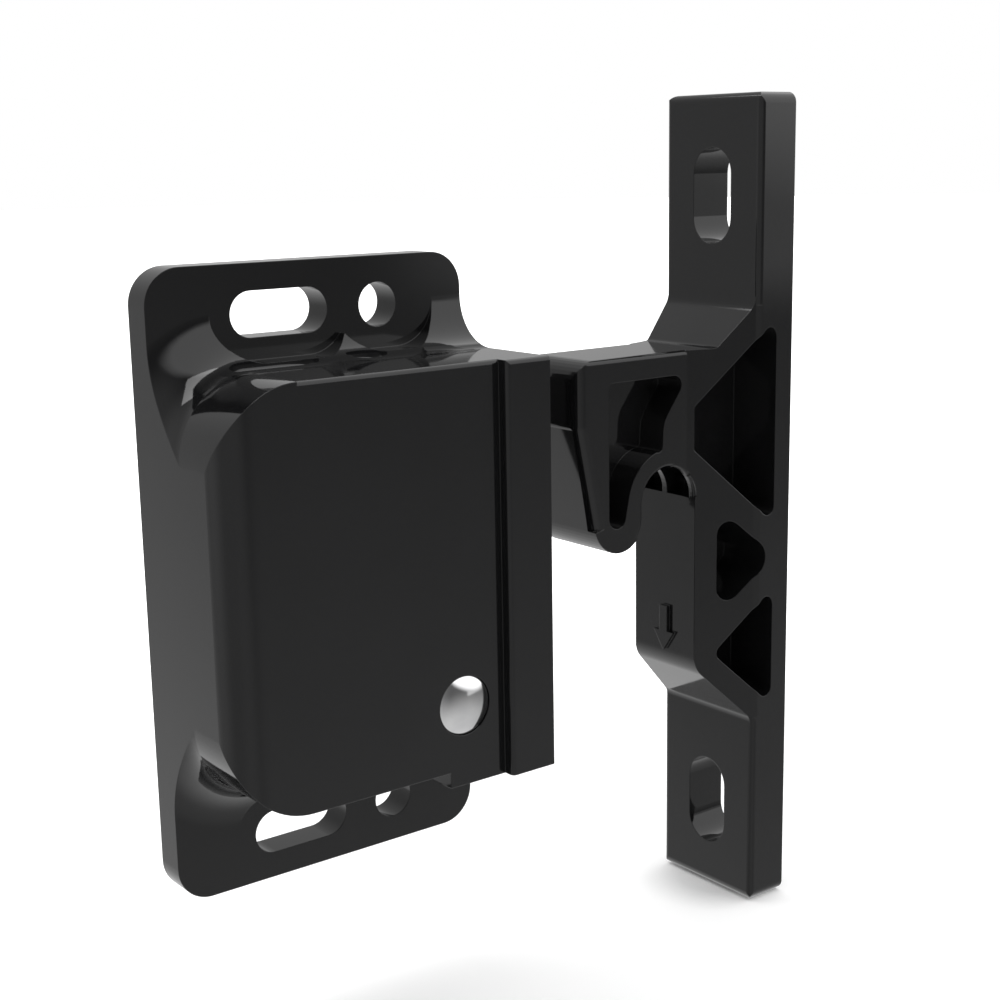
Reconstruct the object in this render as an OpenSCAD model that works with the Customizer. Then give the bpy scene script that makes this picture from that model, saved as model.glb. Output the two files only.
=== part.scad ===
// Push-to-close latch: a moulded case with a pivoting, spring-loaded jaw, and a slotted keeper with a hook.
// The origin is on the case's mounting face, midway between its two round screw holes.
// +X points out of the case's mouth towards the keeper, +Y into the panel behind the case, +Z up.

/* [Mounting plate] */
// Height of the mounting plate
plate_h = 60; // [60:0.5:64]
// Width of the mounting plate, from its back edge to the mouth
plate_w = 34.4; // [34.4:0.2:38]
// Thickness of the mounting plate
plate_t = 3.3; // [3.1:0.1:3.8]
// Corner radius of the mounting plate
plate_r = 3.5; // [1:0.5:4]
// Diameter of the round screw holes and width of the screw slots
hole_d = 4.3; // [3.6:0.1:4.6]
// Distance from the plate's top and bottom edges to the middle of the screw holes
hole_edge = 4.7; // [4.4:0.1:4.8]
// Distance from the mouth to the round screw holes
hole_inset = 9.9; // [9.9:0.1:10.4]
// Length of the screw slots
slot_len = 10.4; // [8:0.2:11]
// Distance between a round hole and the slot beside it
slot_offset = 10.9; // [10:0.1:11.4]
// Radius of the room for a screw head around each hole
head_room_r = 4.25; // [3.8:0.05:4.3]

/* [Case] */
// Distance from the plate's top edge down to the case
case_from_top = 9.4; // [9.2:0.1:9.6]
// Distance from the plate's bottom edge up to the case
case_from_low = 11.45; // [11.2:0.05:11.6]
// Rounding of the case's and the frame's front edges
case_round = 0.45; // [0.2:0.05:0.6]
// Distance from the mounting face to the front of the case
case_depth = 16.25; // [16.1:0.05:17]
// Radius of the two rounded corners of the case
case_corner_r = 7.5; // [6:0.5:8]
// Radius along the upright front edge of the case
case_edge_r = 3.3; // [2:0.1:4]
// Radius of the hollow fillet between the plate and the case
root_r = 5; // [3:0.25:5.5]
// How far the frame round the mouth stands proud of the case's front
frame_lift = 1.25; // [0.8:0.05:2]
// Width of the frame round the mouth
frame_w = 5.2; // [4:0.1:6]
// How far the foot under the pivot reaches below the case
foot_drop = 1.55; // [1.4:0.05:1.8]
// Length of the foot under the pivot, measured from the mouth
foot_len = 11.75; // [11.4:0.05:12.5]
// Thickness of the case's back and lower walls
side_wall = 1.6; // [1.2:0.1:1.8]
// Thickness of the case's front wall
front_wall = 1.75; // [1.5:0.05:1.9]
// Thickness of the case's top wall
top_wall = 1.25; // [1:0.05:1.4]
// Width of the bridge of plate left behind the mouth
bridge_w = 2.9; // [2:0.1:3.2]
// Height of the lip at the lower end of the mouth
lip_h = 5; // [3.5:0.1:5.2]

/* [Back cover] */
// Thickness of the back cover
cover_t = 2.8; // [2.6:0.05:3]
// How deep the cover lies below the mounting face
cover_sink = 0.2; // [0.1:0.05:0.4]
// Width of the ledge that the cover rests on
ledge_w = 0.8; // [0.6:0.05:1]
// Gap between the cover's edge and its recess
cover_gap = 0.1; // [0.05:0.05:0.2]
// Diameter of the cover screws
screw_d = 1.8; // [1.6:0.1:2]
// Diameter of the cover screws' countersunk heads
screw_head_d = 3.4; // [3:0.1:3.6]
// Length of the cover screws
screw_len = 8; // [6:0.5:10]
// Radius of the screw posts in the case
post_r = 1.75; // [1.6:0.05:2]
// Gap round the screws in their holes
screw_gap = 0.03; // [0.02:0.01:0.06]

/* [Pivot] */
// Height of the pivot above the underside of the foot
pivot_up = 7.95; // [7.8:0.05:8.3]
// Diameter of the pivot pin
pin_d = 4.5; // [4:0.1:4.8]
// Diameter of the pivot pin's domed head
pin_head_d = 5.7; // [5.4:0.1:6.4]
// Thickness of the pivot pin's head below its dome
pin_head_t = 0.9; // [0.7:0.05:1]
// Height of the dome on the pivot pin's head
pin_dome_h = 0.6; // [0.2:0.05:0.8]
// How far the rim of the pin's head lies below the case's front
pin_sink = 0.15; // [0:0.05:0.3]
// Gap round the pin's head in the case's front
pin_head_gap = 0.1; // [0.06:0.01:0.15]
// Gap round parts that are held tight on the pin
seat_gap = 0.03; // [0.02:0.01:0.05]
// Running gap round a part that turns on its pin
run_gap = 0.05; // [0.03:0.01:0.08]
// Wall of the bush in the jaw
bush_wall = 0.7; // [0.5:0.05:0.9]
// Thickness of the washers on either side of the jaw
washer_t = 0.5; // [0.3:0.05:0.7]
// Outside diameter of the washers
washer_d = 8; // [7:0.1:9]
// Side gap between the washers and what they run against
side_gap = 0.05; // [0.03:0.01:0.1]
// Thickness of the clip that holds the pivot pin
clip_t = 0.6; // [0.5:0.05:0.8]
// Outside diameter of the clip that holds the pivot pin
clip_d = 7.2; // [6.6:0.1:7.4]
// Depth of the clip's groove in the pin
groove_deep = 0.4; // [0.3:0.05:0.5]

/* [Jaw] */
// Angle that the jaw turns through between open and closed
jaw_turn = 28; // [26:0.5:28.5]
// Radius of the jaw's hub
hub_r = 4.6; // [4.2:0.05:4.7]
// Half the width of the jaw's two fingers
finger_half = 3; // [2.6:0.1:3.2]
// Room that the jaw leaves round the hook's nose
nose_room = 0.35; // [0.3:0.05:0.5]
// Height of the inner finger above the pivot, when closed
inner_tip = 20; // [19:0.25:20.5]
// Thickness of the inner finger at its tip
inner_t = 2.7; // [2.3:0.1:2.9]
// How far the outer finger reaches out from the pivot, when closed
outer_tip = 9.6; // [9:0.1:9.8]
// Distance from the pivot to the crank pin
crank_r = 7.5; // [7.4:0.05:7.8]
// Radius of the ears round the crank pin
ear_r = 2.3; // [2.1:0.05:2.4]
// Half the width across the two ears
ear_half = 3.8; // [3.4:0.1:4.2]
// Diameter of the crank pin
crank_pin_d = 2.5; // [2:0.1:2.6]

/* [Spring and guide] */
// Distance from the inside of the case's back wall to the spring seat's axis
seat_in = 4.9; // [4.5:0.1:5.3]
// How far the spring seat lies above the pivot
seat_rise = 17.95; // [17.4:0.05:18.4]
// Thickness of the guide's flat eye
eye_t = 2.8; // [2.4:0.1:3]
// Side gap between the eye and the jaw's ears
eye_gap = 0.1; // [0.05:0.05:0.2]
// Diameter of the guide rod
rod_d = 3.4; // [3:0.1:3.6]
// Gap round the guide rod in its seat
rod_gap = 0.1; // [0.08:0.01:0.15]
// How far the rod reaches through the seat's axis
rod_over = 4; // [3.6:0.1:4.2]
// Diameter of the shoulder that the spring bears on
shoulder_d = 6; // [5.6:0.1:6.2]
// Thickness of the shoulder
shoulder_t = 0.6; // [0.5:0.05:0.8]
// Distance from the crank pin to the far side of the shoulder
shoulder_at = 4.8; // [4.6:0.05:5]
// Outside diameter of the spring
spring_d = 6.2; // [5.8:0.1:6.4]
// Diameter of the spring's wire
wire_d = 0.9; // [0.7:0.05:1]
// Number of turns of the spring
turns = 6; // [5:0.5:6.5]
// Thickness of the washer between the spring and its seat
spring_washer_t = 0.4; // [0.3:0.05:0.5]
// Room left at the end of the spring for its swing over centre
spring_room = 0.35; // [0.33:0.01:0.45]
// Radius of the spring seat
seat_r = 3.4; // [3.2:0.1:3.5]
// Distance from the seat's axis to the flat that the spring bears on
seat_flat = 2.6; // [2.4:0.05:2.8]
// Width of the spring seat between its trunnions
seat_w = 7.9; // [7.5:0.1:8.1]
// Diameter of the seat's trunnions
trunnion_d = 3; // [2.6:0.1:3.2]
// Length of each trunnion
trunnion_len = 1.5; // [1.3:0.05:1.55]
// Wall of the sockets round the trunnions
socket_wall = 1.3; // [1:0.1:1.4]

/* [Keeper] */
// Distance that the keeper travels from the pose shown to the closed pose
travel = 22; // [21:0.25:22.5]
// Gap between the keeper's block and the mouth when closed
closed_gap = 1.15; // [0.8:0.05:1.5]
// Height of the keeper's slotted plate
keeper_h = 89.8; // [86:0.2:92]
// Height of the keeper's middle above the middle of the case's plate
keeper_z = 0.3; // [0:0.05:0.5]
// Width of the keeper's slotted plate
keeper_w = 14.2; // [13.2:0.1:14.8]
// Thickness of the keeper's slotted plate
keeper_t = 5.2; // [4.6:0.1:5.6]
// Vertical distance between the keeper's slots
keeper_pitch = 68.9; // [68:0.1:70]
// Height of the middle between the keeper's slots above the middle of the case's plate
keeper_slot_z = 0.1; // [0:0.05:0.3]
// Length of the keeper's slots
keeper_slot_len = 10.2; // [8:0.2:12]
// Width of the keeper's slots
keeper_slot_w = 5.6; // [4.6:0.1:6]
// Width of the keeper's arm and hook
arm_w = 8.9; // [8.3:0.1:9.2]
// Room between the top of the arm and the roof of the case
arm_gap = 0.45; // [0.35:0.05:0.75]
// Distance from the keeper's slotted face to its block
block_lift = 6.8; // [6.4:0.02:7.4]
// How far the flare of the arm starts in front of the block, negative towards the hook
flare_start = -1.05; // [-1.1:0.05:-0.6]
// Distance from the nose's centre to the end of the hook
hook_reach = 5.6; // [5.2:0.05:5.8]
// Height of the centre of the hook's nose above the pivot
nose_up = 14.05; // [13.9:0.05:14.75]
// Radius of the hook's nose
nose_r = 3.3; // [3.1:0.05:3.35]
// Height of the hook's upright end, above its slanted face
hook_end_h = 6.7; // [6.3:0.1:7.2]
// Radius of the arch between the hook and the block
arch_r = 3.63; // [3.55:0.01:3.7]
// Height of the arch's centre above the nose's centre
arch_up = 1.2; // [0.8:0.02:1.3]
// Distance from the pivot's height down to the block's lower corner
block_down = 3.9; // [3.5:0.05:4.3]
// Radius at the block's lower corner
block_r = 3; // [2:0.25:3.5]
// Height that the upper brace climbs from the arm to the slotted face
brace_rise = 4.3; // [3.9:0.1:4.6]
// Height that the lower brace falls from the block to the slotted face
brace_fall = 6.65; // [6.3:0.05:7.1]
// Rounding of the keeper's outer edges
keeper_round = 0.5; // [0.3:0.05:0.7]
// Rounding of the slotted plate's front edges
plate_round = 0.65; // [0.5:0.05:0.9]
// Fillet where the upper brace meets the slotted face
brace_fillet = 2; // [1:0.1:2.6]
// Fillet where the lower brace meets the slotted face
foot_fillet = 1.3; // [0.8:0.1:1.6]
// Depth of the hollows under the arch, past the block's face
hollow_in = 2.6; // [2:0.1:2.8]
// Wall beside the hollows under the arch
hollow_wall = 0.65; // [0.6:0.05:1.4]
// Rib between the hollows under the arch
hollow_rib = 0.7; // [0.6:0.1:1.2]
// Thickness of the web in the middle of the keeper
web_t = 1.7; // [1.2:0.1:2.4]
// Thickness of the keeper's back rail behind the pockets
rail_t = 2.35; // [1.8:0.05:2.5]
// Height that the arrow stands proud of the block
arrow_proud = 0.45; // [0.2:0.05:0.6]
arrow_w = 3;
arrow_len = 5.05;
arrow_stem_w = 1.2;
arrow_stem = 2.9;
arrow_z = 6.35;          // from the block's lower corner up to the arrow's tail

/* [Hidden] */
$fn = 64;
eps = 0.01;
black = [0.045, 0.045, 0.05];
dark = [0.12, 0.12, 0.13];
steel = [0.78, 0.78, 0.8];
zinc = [0.62, 0.63, 0.66];
bronze = [0.62, 0.46, 0.25];

// Case: edges, walls and the planes that the inner parts run between
mouth_x = hole_inset;
back_x = mouth_x - plate_w;
hole_z = plate_h / 2 - hole_edge;
case_top = plate_h / 2 - case_from_top;
case_drop = plate_h / 2 - case_from_low;
frame_y = -case_depth - frame_lift;
foot_x = mouth_x - foot_len;
foot_z = -case_drop - foot_drop;
room_front = -case_depth + front_wall;
room_back = -cover_sink - cover_t;
mid_y = (room_front + room_back) / 2;
room_half = (room_back - room_front) / 2;
room_top = case_top - top_wall;
room_low = -case_drop + side_wall;
room_foot = foot_z + side_wall;
room_left = back_x + side_wall;
room_r = case_corner_r - side_wall;
cover_right = mouth_x - bridge_w;
mouth_low = foot_z + side_wall + lip_h;
post_in = 0.6;
head_in = screw_head_d / 2 + 0.25;
posts = [[room_left + post_r + post_in, room_top - post_r - post_in],
         [room_left + post_r + post_in, room_low + post_r + post_in],
         [cover_right - head_in, room_foot - ledge_w + head_in]];
pilot_deep = screw_len + 1;
// A rounding's cutter meets the faces at a small angle, by this much
edge_lap = 0.004;
edge_turn = 40;          // step of the ring cutters round the hook's tip and the arch, in degrees
cut_past = 1;            // how far a cutter reaches past the faces it crosses

// Pivot: the stack along the pin
pivot_z = foot_z + pivot_up;
hub_half = room_half - washer_t - 2 * side_gap;
pin_rim = -case_depth + pin_sink;
pin_shoulder = pin_rim + pin_head_t;
bush_r = pin_d / 2 + run_gap + bush_wall;
clip_room = clip_t + 0.4;
clip_y = -cover_sink - clip_room - side_gap + 0.1;
pin_end = clip_y + clip_t + 0.3;
groove_r = pin_d / 2 - groove_deep;
clip_recess_r = clip_d / 2 + 0.3;

// Keeper: planes along X, in the pose shown
block_x = mouth_x + closed_gap + travel;
slotted_x = block_x + block_lift;
rear_x = slotted_x + keeper_t;
arch_x = block_x - arch_r;
nose_x = block_x - 2 * arch_r - nose_r;
hook_x = nose_x - hook_reach;
flare_x = block_x + flare_start;
arm_half = arm_w / 2;
hook_edge_r = 1.4;
hook_top_r = 2.2;
arm_top = room_top - arm_gap;
slant_z = arm_top - hook_end_h;
nose_z = pivot_z + nose_up;
arch_z = nose_z + arch_up;
block_low = pivot_z - block_down;
brace_top = arm_top + brace_rise;
brace_low = block_low - brace_fall;
flare = (keeper_w / 2 - arm_half) / (slotted_x - flare_x);

// Jaw: drawn closed, about the pivot, and then turned open
pivot = [0, pivot_z];
nose_closed = [nose_x - travel, nose_z] - pivot;
notch_r = nose_r + nose_room;
seat_at = [room_left + seat_in, seat_rise];
seat_dir = atan2(seat_rise, seat_at[0]);
crank_closed = crank_r * [cos(seat_dir + jaw_turn / 2), sin(seat_dir + jaw_turn / 2)];
crank_open = crank_r * [cos(seat_dir - jaw_turn / 2), sin(seat_dir - jaw_turn / 2)];
rod_open = seat_at - crank_open;
rod_closed = seat_at - crank_closed;
rod_dir = atan2(rod_open[1], rod_open[0]);
rod_dir_closed = atan2(rod_closed[1], rod_closed[0]);
link_len = norm(rod_open);
slot_half = eye_t / 2 + eye_gap;
spring_end = link_len - seat_flat - spring_washer_t - eps;

// The hook's slanted face, from its top to where it touches the nose
slant_run = [nose_x - hook_x, nose_z - slant_z];
slant_dir = atan2(slant_run[1], slant_run[0]) - asin(nose_r / norm(slant_run));

echo("jaw turn about the pivot, degrees", jaw_turn);
echo("guide turn on the crank pin, degrees", rod_dir - rod_dir_closed + jaw_turn);
echo("seat turn in the case, degrees", rod_dir - rod_dir_closed);
echo("crank pin at rest", pivot + crank_open, "seat axis", pivot + seat_at);

function unit(v) = v / norm(v);
function turned(p, a) = [p[0] * cos(a) - p[1] * sin(a), p[0] * sin(a) + p[1] * cos(a)];
function arc(c, r, a0, a1, n) = [for (i = [0 : n]) c + r * [cos(a0 + (a1 - a0) * i / n),
    sin(a0 + (a1 - a0) * i / n)]];

// Points of one rounded corner b between its neighbours a and c
function corner(a, b, c, r, n) = r <= 0 ? [b] :
    let (u = unit(a - b), v = unit(c - b), half = acos(u * v) / 2, w = 180 - 2 * half,
         m = b + unit(u + v) * r / sin(half), p = b + u * r / tan(half) - m, q = b + v * r / tan(half) - m)
    [for (i = [0 : n]) m + (p * sin(w * (1 - i / n)) + q * sin(w * i / n)) / sin(w)];

// A closed outline, each entry [x, y, corner radius]
function rounded(pts, n = 6) = let (k = len(pts)) [for (i = [0 : k - 1])
    each corner([pts[(i + k - 1) % k][0], pts[(i + k - 1) % k][1]], [pts[i][0], pts[i][1]],
                [pts[(i + 1) % k][0], pts[(i + 1) % k][1]], pts[i][2], n)];

// Where the nose's centre passes in the jaw's own frame, t from 0 closed to 1 open
function nose_path(t) = turned(nose_closed + [travel * t, 0], jaw_turn * t);
function nose_floor(t) = let (d = unit(nose_path(t + 0.01) - nose_path(t)))
    nose_path(t) + notch_r * [d[1], -d[0]];

// A flat outline in the XZ plane, made a slab from y0 forward to y1
module slab(y0, y1) {
    translate([0, y0, 0]) rotate([90, 0, 0]) linear_extrude(y0 - y1) children();
}

// A round bar along Y
module bar(p, r, y0, y1) {
    translate([p[0], y0, p[1]]) rotate([90, 0, 0]) cylinder(r = r, h = y0 - y1);
}

// A rectangle with four round corners, from corner a to corner b
module round_box(a, b, r) {
    translate([a[0] + r, a[1]]) square([b[0] - a[0] - 2 * r, b[1] - a[1]]);
    translate([a[0], a[1] + r]) square([b[0] - a[0], b[1] - a[1] - 2 * r]);
    for (x = [a[0] + r, b[0] - r], z = [a[1] + r, b[1] - r]) translate([x, z]) circle(r);
}

// Cutter for one edge, along Z from 0 to h: the edge is at the origin, the material towards -X and -Y
module edge_cut(r, h) {
    linear_extrude(h) difference() {
        translate([-r, -r]) square(r + 1);
        translate([edge_lap - r, edge_lap - r]) circle(r);
    }
}

// A slot along X between two centres
module obround(x0, x1, z, r) {
    translate([x0, z - r]) square([x1 - x0, 2 * r]);
    for (x = [x0, x1]) translate([x, z]) circle(r);
}

// A case outline: round corners at the back, square ones at the mouth
module case_shape(left, right, low, top, r) {
    translate([left + r, low]) square([right - left - r, top - low]);
    translate([left, low + r]) square([right - left, top - low - 2 * r]);
    for (z = [low + r, top - r]) translate([left + r, z]) circle(r);
}

// Cross-section of the hollow fillet: u out from the wall, v out from the plate
module fillet_section() {
    difference() {
        square(root_r);
        translate([root_r, root_r]) circle(root_r);
    }
}

// The hollow fillet between the plate and the case, along one long side and round one corner
module root_fillet(side) {
    wall_z = side > 0 ? case_top : -case_drop;
    turn_z = wall_z - side * case_corner_r;
    translate([side > 0 ? back_x + case_corner_r : mouth_x, -plate_t, wall_z])
        rotate(a = 180, v = [1, 0, side])
            linear_extrude(mouth_x - back_x - case_corner_r) fillet_section();
    translate([back_x + case_corner_r, -plate_t, turn_z])
        rotate([90, 0, 0]) rotate([0, 0, side > 0 ? 90 : 180])
            rotate_extrude(angle = 90) translate([case_corner_r, 0]) fillet_section();
}

module case_solid() {
    slab(0, -plate_t) round_box([back_x, -plate_h / 2], [mouth_x, plate_h / 2], plate_r);
    intersection() {
        slab(-eps, -case_depth) case_shape(back_x, mouth_x, -case_drop, case_top, case_corner_r);
        translate([0, 0, -plate_h / 2]) linear_extrude(plate_h) union() {
            translate([back_x + case_edge_r, -case_depth]) square([plate_w - case_edge_r, case_depth]);
            translate([back_x, -case_depth + case_edge_r]) square([plate_w, case_depth - case_edge_r]);
            translate([back_x + case_edge_r, -case_depth + case_edge_r]) circle(case_edge_r);
        }
    }
    intersection() {
        union() {
            root_fillet(1);
            root_fillet(-1);
        }
        translate([back_x, -case_depth, -plate_h / 2]) cube([plate_w, case_depth, plate_h]);
    }
    translate([foot_x, -case_depth, foot_z]) cube([foot_len, case_depth - eps, case_drop]);
    translate([mouth_x - frame_w, frame_y, foot_z]) cube([frame_w, case_depth, case_top - foot_z]);
}

// The hollow that the jaw and the spring work in
module case_room() {
    slab(1, room_front) {
        case_shape(room_left, mouth_x - side_wall, room_low, room_top, room_r);
        translate([foot_x + side_wall, room_foot]) square([foot_len - 2 * side_wall,
            room_low - room_foot + 1]);
    }
    slab(room_back, room_front)
        translate([mouth_x - side_wall - 1, mouth_low]) square([side_wall + 2, room_top - mouth_low]);
}

module cover_shape(gap) {
    case_shape(room_left - ledge_w + gap, cover_right - gap, room_low - ledge_w + gap,
               room_top + ledge_w - gap, room_r + ledge_w - gap);
    translate([foot_x + side_wall - ledge_w + gap, room_foot - ledge_w + gap])
        square([cover_right - foot_x - side_wall + ledge_w - 2 * gap, case_drop / 2]);
}

// Screw holes of the plate, with room for the heads cut down through the fillet
module plate_holes() {
    slot_half_run = (slot_len - hole_d) / 2;
    for (z = [-hole_z, hole_z]) {
        bar([0, z], hole_d / 2, 1, -plate_t - 1);
        slab(1, -plate_t - 1) obround(-slot_offset - slot_half_run, -slot_offset + slot_half_run, z,
            hole_d / 2);
        slab(-plate_t, -case_depth) obround(-slot_offset - slot_half_run, -slot_offset + slot_half_run,
            z, head_room_r);
        slab(-plate_t, -case_depth) obround(-head_room_r / 5, head_room_r / 2, z, head_room_r);
    }
}

module case() {
    color(black) difference() {
        union() {
            difference() {
                case_solid();
                case_room();
                slab(1, room_back) cover_shape(0);
            }
            for (p = posts) bar(p, post_r, room_back, room_front - eps);
            bar(pivot + seat_at, trunnion_d / 2 + run_gap + socket_wall, mid_y - seat_w / 2 - side_gap,
                room_front - eps);
        }
        plate_holes();
        translate([back_x + case_corner_r, -case_depth, case_top]) rotate([0, 90, 0]) rotate([0, 0, 180])
            edge_cut(case_round, plate_w - case_corner_r - frame_w);
        translate([mouth_x - frame_w - 1, frame_y, case_top]) rotate([0, 90, 0]) rotate([0, 0, 180])
            edge_cut(case_round, frame_w + 2);
        translate([mouth_x - frame_w, frame_y, foot_z - 1]) rotate([0, 0, 180])
            edge_cut(case_round, case_top - foot_z + 2);
        for (p = posts) bar(p, screw_d / 2 + screw_gap, room_back + 1, room_back - pilot_deep);
        bar(pivot + seat_at, trunnion_d / 2 + run_gap, room_back,
            mid_y - seat_w / 2 - trunnion_len - 2 * side_gap);
        bar(pivot, pin_d / 2 + seat_gap, 0, -case_depth - 1);
        bar(pivot, pin_head_d / 2 + pin_head_gap, pin_shoulder + seat_gap, -case_depth - 1);
    }
}

module back_cover() {
    color(dark) difference() {
        union() {
            slab(-cover_sink, room_back) cover_shape(cover_gap);
            bar(pivot + seat_at, trunnion_d / 2 + run_gap + socket_wall, room_back + eps,
                mid_y + seat_w / 2 + side_gap);
        }
        bar(pivot, pin_d / 2 + seat_gap, 1, room_back - 1);
        bar(pivot, clip_recess_r, 1, -cover_sink - clip_room);
        bar(pivot + seat_at, trunnion_d / 2 + run_gap,
            mid_y + seat_w / 2 + trunnion_len + 2 * side_gap, mid_y);
        for (p = posts) {
            bar(p, screw_d / 2 + screw_gap, 1, room_back - 1);
            translate([p[0], -cover_sink, p[1]]) rotate([90, 0, 0])
                cylinder(r1 = screw_head_d / 2 + screw_gap, r2 = screw_d / 2 + screw_gap,
                    h = (screw_head_d - screw_d) / 2);
        }
    }
}

module cover_screws() {
    head_h = (screw_head_d - screw_d) / 2;
    color(zinc) for (p = posts) translate([p[0], -cover_sink, p[1]]) rotate([90, 0, 0]) difference() {
        union() {
            cylinder(r1 = screw_head_d / 2, r2 = screw_d / 2, h = head_h);
            cylinder(r = screw_d / 2, h = screw_len);
        }
        for (a = [0, 90]) rotate([0, 0, a]) translate([-screw_head_d / 3, -screw_d / 8, -eps])
            cube([screw_head_d / 1.5, screw_d / 4, head_h * 0.6]);
    }
}

// The pin that the jaw turns on; its domed head shows in the case's front
module pivot_pin() {
    head_r = pin_head_d / 2;
    cap_r = (head_r * head_r + pin_dome_h * pin_dome_h) / (2 * pin_dome_h);
    len_y = pin_end - pin_shoulder;
    color(steel) {
        translate([pivot[0], pin_shoulder, pivot[1]]) rotate([-90, 0, 0]) rotate_extrude() polygon([
            [0, 0], [pin_d / 2, 0], [pin_d / 2, clip_y - pin_shoulder], [groove_r, clip_y - pin_shoulder],
            [groove_r, clip_y + clip_t - pin_shoulder], [pin_d / 2, clip_y + clip_t - pin_shoulder],
            [pin_d / 2, len_y - 0.2], [pin_d / 2 - 0.2, len_y], [0, len_y]]);
        bar(pivot, head_r, pin_shoulder + eps, pin_shoulder - pin_head_t);
        intersection() {
            translate([pivot[0], pin_rim - pin_dome_h + cap_r, pivot[1]]) sphere(cap_r);
            bar(pivot, head_r, pin_rim + eps, pin_rim - 1);
        }
    }
}

// Open ring clip in the pin's groove
module pin_clip() {
    mouth_w = groove_r * 1.6;
    color(zinc) difference() {
        bar(pivot, clip_d / 2, clip_y + clip_t - seat_gap, clip_y + seat_gap);
        bar(pivot, groove_r + seat_gap, 1, -plate_t);
        translate([pivot[0] - mouth_w / 2, -plate_t, pivot[1] - clip_d]) cube([mouth_w, plate_t, clip_d]);
    }
}

module washer(y0) {
    color(zinc) difference() {
        bar(pivot, washer_d / 2, y0, y0 - washer_t);
        bar(pivot, pin_d / 2 + run_gap, y0 + 1, y0 - washer_t - 1);
    }
}

module front_washer() {
    washer(room_front + side_gap + washer_t);
}

module rear_washer() {
    washer(room_back - side_gap);
}

// Outline of the jaw's two fingers, closed, about the pivot
module fingers_shape() {
    slant_back = [nose_closed[0] - hook_reach, slant_z - pivot_z];
    inner_x = slant_back[0] + (slant_back[1] - inner_tip) / tan(-slant_dir) - nose_room / sin(-slant_dir);
    floor_end = [for (i = [0 : 40]) if (nose_floor(i / 50)[0] < outer_tip - 1.9) nose_floor(i / 50)];
    last = floor_end[len(floor_end) - 1];
    tip = last + unit(last - floor_end[len(floor_end) - 2]) * 1.6;
    polygon(concat(
        corner([-hub_r, 0], [inner_x - inner_t, inner_tip], [inner_x, inner_tip], 1.1, 5),
        corner([inner_x - inner_t, inner_tip], [inner_x, inner_tip], nose_closed - [notch_r, 0], 0.8, 5),
        arc(nose_closed, notch_r, 180 + slant_dir + 90, 270, 8),
        [for (i = [1 : len(floor_end) - 1]) floor_end[i]],
        corner(last, tip, [outer_tip, tip[1] - 4], 0.6, 6),
        [[outer_tip, tip[1] - 2.5], [hub_r + 3.2, hub_r + 1], [hub_r * 0.92, -hub_r * 0.3],
            [-hub_r * 0.9, 0]]));
}

// The jaw, closed and about the pivot: hub, two fingers, and two ears for the crank pin
module jaw_closed() {
    difference() {
        union() {
            bar([0, 0], hub_r, hub_half, -hub_half);
            slab(finger_half, -finger_half) fingers_shape();
            bar(crank_closed, ear_r, ear_half, -ear_half);
            slab(ear_half, -ear_half) polygon([crank_closed + turned([0, ear_r], seat_dir + jaw_turn / 2),
                crank_closed - turned([0, ear_r], seat_dir + jaw_turn / 2),
                    [-hub_r * 0.7, -hub_r * 0.3], [0, hub_r * 0.8]]);
        }
        bar([0, 0], bush_r + eps, hub_half + 1, -hub_half - 1);
        bar(crank_closed, crank_pin_d / 2 + eps, ear_half + 1, -ear_half - 1);
        slab(slot_half, -slot_half) {
            translate(crank_closed) circle(ear_r + 0.3);
            polygon([crank_closed, crank_closed + turned([9, 0], rod_dir + jaw_turn + 22), crank_closed +
                turned([9, 0], rod_dir_closed - 24)]);
        }
    }
}

module jaw() {
    color(dark) translate([pivot[0], mid_y, pivot[1]]) rotate([0, jaw_turn, 0]) jaw_closed();
}

module jaw_bush() {
    color(bronze) difference() {
        bar(pivot, bush_r, mid_y + hub_half, mid_y - hub_half);
        bar(pivot, pin_d / 2 + run_gap, mid_y + hub_half + 1, mid_y - hub_half - 1);
    }
}

module crank_pin() {
    color(steel) bar(pivot + crank_open, crank_pin_d / 2, mid_y + ear_half, mid_y - ear_half);
}

// Puts a part that is drawn along +X from the crank pin into its place
module along_rod() {
    translate([pivot[0] + crank_open[0], mid_y, pivot[1] + crank_open[1]]) rotate([0, -rod_dir, 0])
        children();
}

// Rod with a flat eye on the crank pin, which slides through the spring seat
module spring_guide() {
    color(zinc) along_rod() difference() {
        union() {
            bar([0, 0], ear_r, eye_t / 2, -eye_t / 2);
            translate([0, -eye_t / 2, -rod_d / 2]) cube([shoulder_at - eps, eye_t, rod_d]);
            translate([shoulder_at - shoulder_t, 0, 0]) rotate([0, 90, 0]) cylinder(d = shoulder_d,
                h = shoulder_t);
            translate([shoulder_at - shoulder_t, 0, 0]) rotate([0, 90, 0])
                cylinder(d = rod_d, h = link_len + rod_over - shoulder_at + shoulder_t);
        }
        bar([0, 0], crank_pin_d / 2 + run_gap, eye_t, -eye_t);
    }
}

// Points of the wire's centre line and its rings, from the shoulder to the washer
spring_r = (spring_d - wire_d) / 2;
coil_from = shoulder_at + wire_d / 2 + eps;
coil_to = spring_end - spring_room - wire_d / 2;
coil_pitch = (coil_to - coil_from) / turns;
ring_n = 8;
coil_n = ceil(turns * 20);
coil_rise = atan(coil_pitch / (2 * PI * spring_r));
echo("least gap between the spring's turns", coil_pitch * cos(coil_rise) - wire_d);

function coil_ring(i) = let (a = 360 * turns * i / coil_n, x = coil_from + (coil_to - coil_from)
    * i / coil_n,
    out = [0, cos(a), sin(a)], up = [cos(coil_rise), sin(coil_rise) * sin(a), -sin(coil_rise) * cos(a)])
    [for (k = [0 : ring_n - 1]) [x, 0, 0] + out * spring_r
        + (out * cos(360 * k / ring_n) + up * sin(360 * k / ring_n)) * wire_d / 2];

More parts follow.
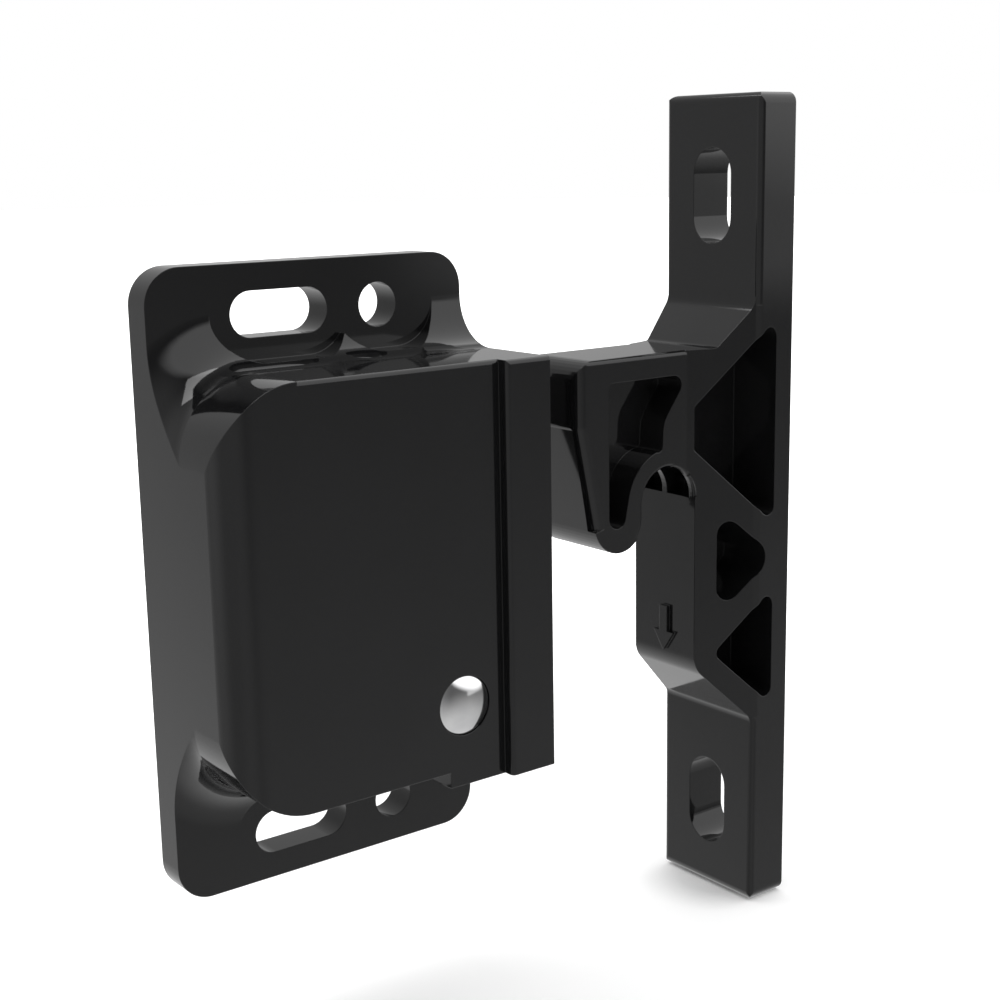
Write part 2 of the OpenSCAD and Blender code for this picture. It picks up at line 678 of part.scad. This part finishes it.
module spring() {
    pts = [for (i = [0 : coil_n]) each coil_ring(i)];
    last = coil_n * ring_n;
    skin = [for (i = [0 : coil_n - 1], k = [0 : ring_n - 1]) let (a = i * ring_n + k,
        b = i * ring_n + (k + 1) % ring_n) each [[a, b, b + ring_n], [a, b + ring_n, a + ring_n]]];
    ends = [for (k = [1 : ring_n - 2]) each [[0, k + 1, k], [last, last + k, last + k + 1]]];
    color(steel) along_rod() polyhedron(pts, concat(skin, ends));
}

module spring_washer() {
    color(zinc) along_rod() translate([spring_end, 0, 0]) rotate([0, 90, 0]) difference() {
        cylinder(d = spring_d, h = spring_washer_t);
        translate([0, 0, -1]) cylinder(d = rod_d + 2 * rod_gap, h = spring_washer_t + 2);
    }
}

// Rocking block that the guide rod slides through
module spring_seat() {
    color(zinc) along_rod() translate([link_len, 0, 0]) difference() {
        union() {
            bar([0, 0], seat_r, seat_w / 2, -seat_w / 2);
            bar([0, 0], trunnion_d / 2, seat_w / 2 + trunnion_len, -seat_w / 2 - trunnion_len);
        }
        translate([-seat_r - 1, -seat_w, -seat_r - 1])
            cube([seat_r + 1 - seat_flat, 2 * seat_w, 2 * seat_r + 2]);
        translate([-seat_r - 1, 0, 0]) rotate([0, 90, 0]) cylinder(d = rod_d + 2 * rod_gap,
            h = 2 * seat_r + 2);
    }
}

// Side outline of the keeper's arm, hook and braces
module keeper_side() {
    rise = (brace_top - arm_top) * block_lift / (block_low - brace_low);
    face_x = slotted_x + edge_lap;
    polygon(concat(
        corner([hook_x, slant_z], [hook_x, arm_top], [slotted_x, arm_top], hook_top_r, 8),
        corner([hook_x, arm_top], [slotted_x - rise, arm_top], [slotted_x, brace_top], 0.8, 4),
        corner([slotted_x - rise, arm_top], [face_x, brace_top], [face_x, brace_top + 9], brace_fillet, 6),
        [[face_x + 1, brace_top + brace_fillet], [rear_x, brace_top + brace_fillet],
         [rear_x, brace_low - foot_fillet], [face_x + 1, brace_low - foot_fillet]],
        corner([face_x, brace_low - 9], [face_x, brace_low], [block_x, block_low], foot_fillet, 8),
        corner([slotted_x, brace_low], [block_x, block_low], [block_x, arch_z], block_r, 8),
        arc([arch_x, arch_z], arch_r, 0, 180, 24),
        arc([nose_x, nose_z], nose_r, 0, slant_dir - 90, 24),
        corner([nose_x, nose_z], [hook_x, slant_z], [hook_x, arm_top], 1, 4)));
}

// Plan outline: the arm's parallel sides, the flare out to the slotted face and the plate's sides
module keeper_plan() {
    wide = keeper_w / 2;
    near = wide - plate_round * 0.66;
    polygon(rounded([[hook_x, -arm_half, hook_edge_r], [flare_x, -arm_half, 0], [slotted_x, -near, 0],
                     [slotted_x + plate_round, -wide, 0], [rear_x, -wide, 0], [rear_x, wide, 0],
                     [slotted_x + plate_round, wide, 0], [slotted_x, near, 0],
                     [flare_x, arm_half, 0], [hook_x, arm_half, hook_edge_r]], 8));
}

// Pockets that leave the braces, the ring round the arch and the back rail
module keeper_pockets() {
    rail_x = rear_x - rail_t;
    brace = 2.45;
    left = block_x - 0.2;
    big_top = brace_top - 1.1;
    big_low = arch_z - 4.2;
    up = (big_top - big_low) * 0.4;
    polygon(rounded([[left, big_top - up, 0.3], [left, big_low + up, 0.3],
                     [rail_x, big_low, 1], [rail_x, big_top, 1]]));
    small_mid = big_low - 3.25;
    small_half = 6.15;
    polygon(rounded([[block_x + brace + 0.1, small_mid - small_half, 1.4], [rail_x - 0.2, small_mid, 2],
                     [block_x + brace + 0.1, small_mid + small_half, 1.4]]));
    low_mid = block_low + 1.4;
    polygon(rounded([[block_x + brace - 0.25, low_mid, 1], [rail_x, low_mid - 7.15, 1],
        [rail_x, low_mid + 7.05, 1]]));
    ring = arch_r + 2.1;
    in_x = nose_x - 1.4;
    in_top = arm_top - 2.5;
    in_w = 2.3;
    waist = [block_x - 4.5, arch_z + ring - 0.2];
    bend = [block_x - 4.35, waist[1] + (in_top - waist[1]) * 0.39];
    bend_r = (in_top - waist[1]) * 0.42;
    ring_pts = arc([arch_x, arch_z], ring, 108, 172, 12);
    polygon(concat(
        corner([in_x, nose_z], [in_x, in_top], [block_x, in_top], 0.6, 4),
        corner([in_x, in_top], [bend[0] + 3.6, in_top], bend, 1.05, 8),
        corner([bend[0] + 3.6, in_top], bend, waist, bend_r, 8),
        corner(bend, waist, ring_pts[2], 0.7, 4),
        ring_pts,
        arc([in_x + in_w / 2, nose_z + 0.45], in_w / 2, 0, -180, 10)));
}

// Cutter that rounds one long edge of the hook's slanted face, side -1 near and 1 far
module slant_edge(side) {
    run = sqrt(slant_run * slant_run - nose_r * nose_r);
    translate([hook_x, mid_y, slant_z]) rotate([0, 90 - slant_dir, 0])
        translate([0, 0, -cut_past]) linear_extrude(run + cut_past) difference() {
            translate([-hook_edge_r, side > 0 ? arm_half - hook_edge_r : -arm_half - cut_past])
                square([hook_edge_r + cut_past, hook_edge_r + cut_past]);
            translate([edge_lap - hook_edge_r, side * (arm_half - hook_edge_r + edge_lap)])
                circle(hook_edge_r);
        }
}

// Generic downward arrow, in the YZ plane
module arrow() {
    half = arrow_w / 2;
    stem = arrow_stem_w / 2;
    top = block_low + arrow_z;
    neck = top - arrow_stem;
    polygon([[stem, top], [stem, neck], [half, neck], [0, top - arrow_len], [-half, neck], [-stem, neck],
        [-stem, top]]);
}

// Ring of cutter about an axis along Y: the edge is at radius ring, r its rounding, out 1 outside a
// bar and -1 inside a hole, from angle a over the angle da
module ring_cut(side, p, ring, r, out, a, da) {
    translate([p[0], mid_y + side * arm_half, p[1]]) rotate([90, 0, 0]) rotate([0, 0, a])
        rotate_extrude(angle = da) difference() {
            translate([out > 0 ? ring - r : ring - cut_past, side < 0 ? -r : -cut_past])
                square(r + cut_past);
            translate([ring - out * (r - edge_lap), side * (r - edge_lap)]) circle(r);
        }
}

// The slotted plate: front, plan and side outlines together round every outer edge
module keeper_plate() {
    half_h = keeper_h / 2;
    half_w = keeper_w / 2;
    intersection() {
        translate([slotted_x, mid_y, keeper_z]) rotate([90, 0, 90]) linear_extrude(keeper_t)
            round_box([-half_w, -half_h], [half_w, half_h], 1.1);
        translate([0, mid_y, keeper_z - half_h]) linear_extrude(keeper_h)
            round_box([slotted_x, -half_w], [rear_x + 2 * plate_round, half_w], plate_round);
        slab(mid_y + half_w, mid_y - half_w)
            round_box([slotted_x, keeper_z - half_h], [rear_x + 3 * plate_round, keeper_z + half_h],
                plate_round * 1.5);
    }
}

// Cutters along the arm's top edges, the arch's edges and the block's upright edges
module keeper_edges() {
    block_half = arm_half + (block_x - flare_x) * flare;
    for (side = [-1, 1]) {
        slant_edge(side);
        translate([hook_x - 1, mid_y + side * arm_half, arm_top]) rotate([0, 90, 0])
            rotate([0, 0, side > 0 ? 90 : 180]) edge_cut(keeper_round, flare_x - hook_x + 1);
        translate([block_x, mid_y + side * block_half, block_low]) rotate([0, 0, side > 0 ? 90 : 180])
            edge_cut(keeper_round * 0.4, arch_z - block_low);
        ring_cut(side, [nose_x, nose_z], nose_r, hook_edge_r, 1, slant_dir - 90,
            90 - edge_turn - slant_dir);
        ring_cut(side, [nose_x, nose_z], nose_r, keeper_round, 1, -edge_turn, edge_turn);
        translate([nose_x + nose_r, mid_y + side * arm_half, nose_z]) rotate([0, 0, side > 0 ? 0 : -90])
            edge_cut(keeper_round, arch_z - nose_z);
        ring_cut(side, [arch_x, arch_z], arch_r, keeper_round, -1, 2 * edge_turn, 180 - 2 * edge_turn);
        ring_cut(side, [arch_x, arch_z], arch_r, keeper_round * 0.7, -1, edge_turn, edge_turn);
        ring_cut(side, [arch_x, arch_z], arch_r, keeper_round * 0.4, -1, 0, edge_turn);
    }
}

// The two hollows under the arch, one on each side of the middle rib
module arch_hollows() {
    top = arch_z + arch_r + hollow_in * 0.42;
    for (s = [-1, 1]) slab(mid_y + (s > 0 ? arm_half - hollow_wall : -hollow_rib / 2),
                           mid_y + (s > 0 ? hollow_rib / 2 : hollow_wall - arm_half))
        polygon([[arch_x, arch_z - 0.15], [block_x + hollow_in, arch_z - 0.15],
                 [block_x + hollow_in, arch_z + hollow_in * 0.4],
                 [block_x + hollow_in * 0.12, arch_z + arch_r * 0.88],
                 [arch_x + arch_r * 0.44, top], [arch_x, top]]);
}

module keeper() {
    slot_run = (keeper_slot_len - keeper_slot_w) / 2;
    color(black) difference() {
        union() {
            intersection() {
                slab(mid_y + keeper_w, mid_y - keeper_w) keeper_side();
                translate([0, mid_y, -plate_h]) linear_extrude(2 * plate_h) keeper_plan();
            }
            difference() {
                keeper_plate();
                translate([slotted_x - cut_past, mid_y - keeper_w, brace_low + eps])
                    cube([keeper_t + 2 * cut_past, 2 * keeper_w, brace_top - brace_low - 2 * eps]);
            }
        }
        for (s = [-1, 1]) translate([0, mid_y + s * (web_t / 2 + (keeper_w - web_t) / 2), 0])
            slab((keeper_w - web_t) / 2 + (s > 0 ? 1 : 0), -(keeper_w - web_t) / 2 - (s < 0 ? 1 : 0))
                keeper_pockets();
        for (z = [-keeper_pitch / 2, keeper_pitch / 2]) translate([slotted_x - cut_past, mid_y, keeper_slot_z + z])
            rotate([90, 0, 90]) linear_extrude(keeper_t + 2 * cut_past) rotate(90)
                obround(-slot_run, slot_run, 0, keeper_slot_w / 2);
        keeper_edges();
        arch_hollows();
    }
    color(black) translate([block_x - arrow_proud, mid_y - 0.25, 0]) rotate([90, 0, 90])
        linear_extrude(1 + arrow_proud) arrow();
}

case();
back_cover();
cover_screws();
pivot_pin();
pin_clip();
front_washer();
rear_washer();
jaw();
jaw_bush();
crank_pin();
spring_guide();
spring();
spring_washer();
spring_seat();
keeper();
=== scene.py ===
import bmesh
import bpy
from mathutils import Matrix, Vector


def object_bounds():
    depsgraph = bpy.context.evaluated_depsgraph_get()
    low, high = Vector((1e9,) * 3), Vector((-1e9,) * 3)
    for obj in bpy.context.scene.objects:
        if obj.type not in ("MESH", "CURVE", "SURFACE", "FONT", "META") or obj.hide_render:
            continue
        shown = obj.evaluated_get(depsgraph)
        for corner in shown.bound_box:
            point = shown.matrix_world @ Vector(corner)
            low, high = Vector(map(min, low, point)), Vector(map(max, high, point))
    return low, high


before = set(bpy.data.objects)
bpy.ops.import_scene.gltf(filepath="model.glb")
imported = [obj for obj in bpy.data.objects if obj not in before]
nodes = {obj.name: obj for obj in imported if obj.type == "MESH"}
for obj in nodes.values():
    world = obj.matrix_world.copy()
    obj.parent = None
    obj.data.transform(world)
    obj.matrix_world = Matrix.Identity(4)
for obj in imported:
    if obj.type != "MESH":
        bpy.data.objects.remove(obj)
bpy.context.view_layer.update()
WHITE = (1, 1, 1, 1)

# Materials. Lengths are in metres, so a noise of scale 100 has features of about 10 mm.
NOISE_LOW, NOISE_HIGH = 0.3, 0.7        # the part of a noise's range that a pair of values is spread over
CLOUD = dict(scale=90.0, detail=4.0)    # slow change of a plastic's colour
SMEAR = dict(scale=240.0, detail=5.0)   # change of a plastic's roughness
WAVE = dict(scale=60.0, detail=1.0)     # slow unevenness of a moulded face
WAVE_HEIGHT = 0.00004
GRAIN_HEIGHT = 0.00002
GRAIN_STRENGTH = 0.05
GRAIN_SCALE = 400.0
GRAIN_DETAIL = 4.0
BRONZE_GRAIN = 900.0
PLASTIC_IOR = 1.5
BEVEL_SAMPLES = 6


def add(nt, kind, values=None, operation=None):
    """A new shader node, with its inputs' values by name or number."""
    node = nt.nodes.new("ShaderNode" + kind)
    if operation:
        node.operation = operation
    for key, value in (values or {}).items():
        node.inputs[key].default_value = value
    return node


def graph(name):
    mat = bpy.data.materials.new(name)
    mat.use_nodes = True
    nt = mat.node_tree
    return mat, nt, nt.nodes["Principled BSDF"], add(nt, "TexCoord")


def noise(nt, coord, scale, detail):
    tex = add(nt, "TexNoise", {"Scale": scale, "Detail": detail})
    nt.links.new(coord.outputs["Object"], tex.inputs["Vector"])
    return tex.outputs["Fac"]


def spread(nt, value, low, high, from_low=NOISE_LOW, from_high=NOISE_HIGH, smooth=False):
    """Low to high, while the value goes from from_low to from_high."""
    node = add(nt, "MapRange", {"From Min": from_low, "From Max": from_high, "To Min": low, "To Max": high})
    if smooth:
        node.interpolation_type = "SMOOTHSTEP"
    nt.links.new(value, node.inputs["Value"])
    return node.outputs["Result"]


def tint(nt, fac, dark, light):
    ramp = add(nt, "ValToRGB")
    for stop, place, colour in zip(ramp.color_ramp.elements, (NOISE_LOW, NOISE_HIGH), (dark, light)):
        stop.position = place
        stop.color = (*colour, 1)
    nt.links.new(fac, ramp.inputs["Fac"])
    return ramp.outputs["Color"]


def relief(nt, bsdf, height, strength, distance, edge):
    """Bump from a height, over edges that look rounded by the radius edge."""
    bump = add(nt, "Bump", {"Strength": strength, "Distance": distance})
    nt.links.new(height, bump.inputs["Height"])
    nt.links.new(bump.outputs["Normal"], bsdf.inputs["Normal"])
    if edge:
        bevel = add(nt, "Bevel", {"Radius": edge})
        bevel.samples = BEVEL_SAMPLES
        nt.links.new(bevel.outputs["Normal"], bump.inputs["Normal"])


def plastic(name, dark, light, rough, edge, wave):
    mat, nt, bsdf, coord = graph(name)
    nt.links.new(tint(nt, noise(nt, coord, **CLOUD), dark, light), bsdf.inputs["Base Color"])
    nt.links.new(spread(nt, noise(nt, coord, **SMEAR), *rough), bsdf.inputs["Roughness"])
    bsdf.inputs["IOR"].default_value = PLASTIC_IOR
    relief(nt, bsdf, noise(nt, coord, **WAVE), wave, WAVE_HEIGHT, edge)
    return mat


def metal(name, dark, light, rough, scale=GRAIN_SCALE, edge=0.0):
    mat, nt, bsdf, coord = graph(name)
    grain = noise(nt, coord, scale, GRAIN_DETAIL)
    nt.links.new(tint(nt, grain, dark, light), bsdf.inputs["Base Color"])
    nt.links.new(spread(nt, grain, *rough), bsdf.inputs["Roughness"])
    bsdf.inputs["Metallic"].default_value = 1.0
    relief(nt, bsdf, grain, GRAIN_STRENGTH, GRAIN_HEIGHT, edge)
    return mat


GLOSS = plastic("gloss_black_plastic", (0.0052, 0.0052, 0.0055), (0.0066, 0.0066, 0.0070),
                rough=(0.05, 0.075), edge=0.00012, wave=0.04)
SATIN = plastic("satin_black_plastic", (0.010, 0.010, 0.011), (0.016, 0.016, 0.017),
                rough=(0.28, 0.38), edge=0.0002, wave=0.2)
POLISH = metal("polished_steel", (0.72, 0.72, 0.73), (0.82, 0.82, 0.82), rough=(0.06, 0.12))
ZINC = metal("zinc_plated_steel", (0.55, 0.56, 0.58), (0.70, 0.70, 0.72), rough=(0.22, 0.38), edge=0.0001)
BRONZE = metal("sintered_bronze", (0.42, 0.29, 0.14), (0.58, 0.42, 0.22), rough=(0.3, 0.5),
               scale=BRONZE_GRAIN)

BY_NODE = {
    "case": GLOSS, "keeper": GLOSS, "back_cover": SATIN, "jaw": SATIN,
    "pivot_pin": POLISH, "crank_pin": POLISH, "spring": POLISH,
    "cover_screws": ZINC, "pin_clip": ZINC, "front_washer": ZINC, "rear_washer": ZINC,
    "spring_guide": ZINC, "spring_washer": ZINC, "spring_seat": ZINC, "jaw_bush": BRONZE,
}
for name, mat in BY_NODE.items():
    for slot in nodes[name].material_slots:
        slot.material = mat

# Floor: pale, with a glow that only the camera sees. The glow is dimmed within 9 mm of the keeper's foot
# and is weaker everywhere within 10 cm of it. This paints shade on the floor round the foot and under the
# case, on top of the real shadow in the floor's diffuse light.
FLOOR_GAP = 0.0001
FLOOR_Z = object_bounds()[0][2] - FLOOR_GAP
FLOOR_RADIUS = 3.0
FLOOR_SEGMENTS = 96
FLOOR_NOISE = dict(scale=2.0, detail=2.0)
FLOOR_DARK, FLOOR_LIGHT = (0.90, 0.90, 0.90), (0.93, 0.93, 0.93)
FLOOR_ROUGHNESS = 0.6
FLOOR_SPECULAR = 0.1
KEEPER_FOOT = (0.0415, -0.0085, FLOOR_Z)
# The glow's strength from and to, and the distances from the foot between which it changes. Where the glow
# is weaker, it paints shade on the floor.
PAINTED_SHADE_GLOW_AT_FOOT = (0.06, 0.26, 0.004, 0.009)
PAINTED_SHADE_GLOW_AROUND = (0.0, 0.74, 0.05, 0.10)


def floor_with_painted_shade():
    mat, nt, bsdf, coord = graph("pale_floor_with_painted_shade")
    pale = tint(nt, noise(nt, coord, **FLOOR_NOISE), FLOOR_DARK, FLOOR_LIGHT)
    nt.links.new(pale, bsdf.inputs["Base Color"])
    bsdf.inputs["Roughness"].default_value = FLOOR_ROUGHNESS
    bsdf.inputs["Specular IOR Level"].default_value = FLOOR_SPECULAR
    far = add(nt, "VectorMath", {1: KEEPER_FOOT}, "DISTANCE")
    nt.links.new(coord.outputs["Object"], far.inputs[0])
    glow_with_painted_shade = add(nt, "Math", operation="ADD")
    for i, part in enumerate((PAINTED_SHADE_GLOW_AT_FOOT, PAINTED_SHADE_GLOW_AROUND)):
        nt.links.new(spread(nt, far.outputs["Value"], *part), glow_with_painted_shade.inputs[i])
    shown = add(nt, "Math", operation="MULTIPLY")
    nt.links.new(glow_with_painted_shade.outputs["Value"], shown.inputs[0])
    nt.links.new(add(nt, "LightPath").outputs["Is Camera Ray"], shown.inputs[1])
    # Camera-only glow, weaker near the keeper's foot: this is painted shade on the floor there
    glow = add(nt, "Emission", {"Color": WHITE})
    nt.links.new(shown.outputs["Value"], glow.inputs["Strength"])
    both = add(nt, "AddShader")
    nt.links.new(bsdf.outputs["BSDF"], both.inputs[0])
    nt.links.new(glow.outputs["Emission"], both.inputs[1])
    nt.links.new(both.outputs["Shader"], nt.nodes["Material Output"].inputs["Surface"])
    me = bpy.data.meshes.new("floor")
    bm = bmesh.new()
    bmesh.ops.create_circle(bm, cap_ends=True, segments=FLOOR_SEGMENTS, radius=FLOOR_RADIUS,
                            matrix=Matrix.Translation((0, 0, FLOOR_Z)))
    bm.to_mesh(me)
    bm.free()
    me.materials.append(mat)
    ob = bpy.data.objects.new("floor", me)
    bpy.context.scene.collection.objects.link(ob)
    ob.visible_glossy = False


floor_with_painted_shade()

# Studio light round the part: each light has a direction, the cosines between which it fades in, and
# its strength. The camera sees plain white instead.
AMBIENT = 0.12
LOBES = [
    ((-0.3, 1.0, 0.0), 0.0, 0.8, 0.37),      # behind: seen in the left and inner sides
    ((0.2, -0.4, -0.9), 0.3, 1.0, 0.55),     # low, in front
    ((-0.9, -0.4, 0.1), 0.3, 0.9, 0.35),     # on the left
    ((0.0, 0.4, -0.92), 0.45, 0.95, 0.6),    # low, behind: seen in the keeper's lower slope
    ((0.4, 0.8, 0.5), 0.6, 0.95, 0.13),      # high, behind
]
KEY = ((0.6, -0.3, 0.74), 0.575, 0.695, 1.35)            # high on the right: seen in the top faces
PANEL_SIDE = ((0.9, -0.43, 0), 0.85, 0.89, 1.0)          # a dimmer part round the key's lower edge
PANEL_UPPER_HALF = ((0, 0, 1), -0.10, -0.06, 0.45)
SEEN_BACKGROUND = 1.0


def studio_world():
    world = bpy.data.worlds.new("studio")
    bpy.context.scene.world = world
    world.use_nodes = True
    nt = world.node_tree
    nt.nodes.clear()
    coord = add(nt, "TexCoord")

    def side(direction, low, high, strength):
        """Strength towards one side, fading to nothing between the cosines high and low."""
        dot = add(nt, "VectorMath", {1: Vector(direction).normalized()}, "DOT_PRODUCT")
        nt.links.new(coord.outputs["Generated"], dot.inputs[0])
        return spread(nt, dot.outputs["Value"], 0.0, strength, low, high, smooth=True)

    def join(operation, a, b):
        node = add(nt, "Math", operation=operation)
        nt.links.new(a, node.inputs[0])
        nt.links.new(b, node.inputs[1])
        return node.outputs["Value"]

    ambient = add(nt, "Value")
    ambient.outputs[0].default_value = AMBIENT
    glow = ambient.outputs[0]
    for lobe in LOBES:
        glow = join("ADD", side(*lobe), glow)
    panel = join("MULTIPLY", side(*PANEL_UPPER_HALF), side(*PANEL_SIDE))
    glow = join("ADD", join("MAXIMUM", side(*KEY), panel), glow)
    light = add(nt, "Background", {"Color": WHITE})
    nt.links.new(glow, light.inputs["Strength"])
    seen = add(nt, "Background", {"Color": WHITE, "Strength": SEEN_BACKGROUND})
    mix = add(nt, "MixShader")
    nt.links.new(add(nt, "LightPath").outputs["Is Camera Ray"], mix.inputs["Fac"])
    nt.links.new(light.outputs["Background"], mix.inputs[1])
    nt.links.new(seen.outputs["Background"], mix.inputs[2])
    nt.links.new(mix.outputs["Shader"], add(nt, "OutputWorld").inputs["Surface"])


studio_world()


def softbox(name, place, target, size, power):
    """Rectangular light at a place, turned to a target, of a size in metres and a power in watts."""
    data = bpy.data.lights.new(name, "AREA")
    data.shape = "RECTANGLE"
    data.size, data.size_y = size
    data.energy = power
    ob = bpy.data.objects.new(name, data)
    bpy.context.scene.collection.objects.link(ob)
    ob.location = place
    ob.rotation_euler = (Vector(target) - Vector(place)).to_track_quat("-Z", "Y").to_euler()


softbox("overhead_softbox", place=(-0.15, 0.21, 0.6), target=(0.0, 0.0, 0.0), size=(0.42, 0.42), power=1.8)

# Camera, as solved from the straight edges in the photograph
CAMERA_PLACE = (-0.08873, -0.13772, 0.03923)
IMAGE_RIGHT = (0.79060, -0.61210, -0.01720)
IMAGE_DOWN = (-0.13850, -0.15130, -0.97870)
SENSOR_WIDTH = 36.0      # mm, with the focal length
FOCAL_LENGTH = 59.49
CLIP_NEAR, CLIP_FAR = 0.01, 20.0


def photo_camera():
    data = bpy.data.cameras.new("photo_camera")
    data.sensor_width = SENSOR_WIDTH
    data.lens = FOCAL_LENGTH
    data.clip_start, data.clip_end = CLIP_NEAR, CLIP_FAR
    cam = bpy.data.objects.new("photo_camera", data)
    bpy.context.scene.collection.objects.link(cam)
    right = Vector(IMAGE_RIGHT).normalized()
    forward = right.cross(Vector(IMAGE_DOWN)).normalized()
    up = right.cross(forward).normalized()
    cam.matrix_world = Matrix([(right[i], up[i], -forward[i], CAMERA_PLACE[i]) for i in range(3)]
                              + [(0, 0, 0, 1)])
    bpy.context.scene.camera = cam


photo_camera()
bpy.context.scene.view_settings.view_transform = "Standard"
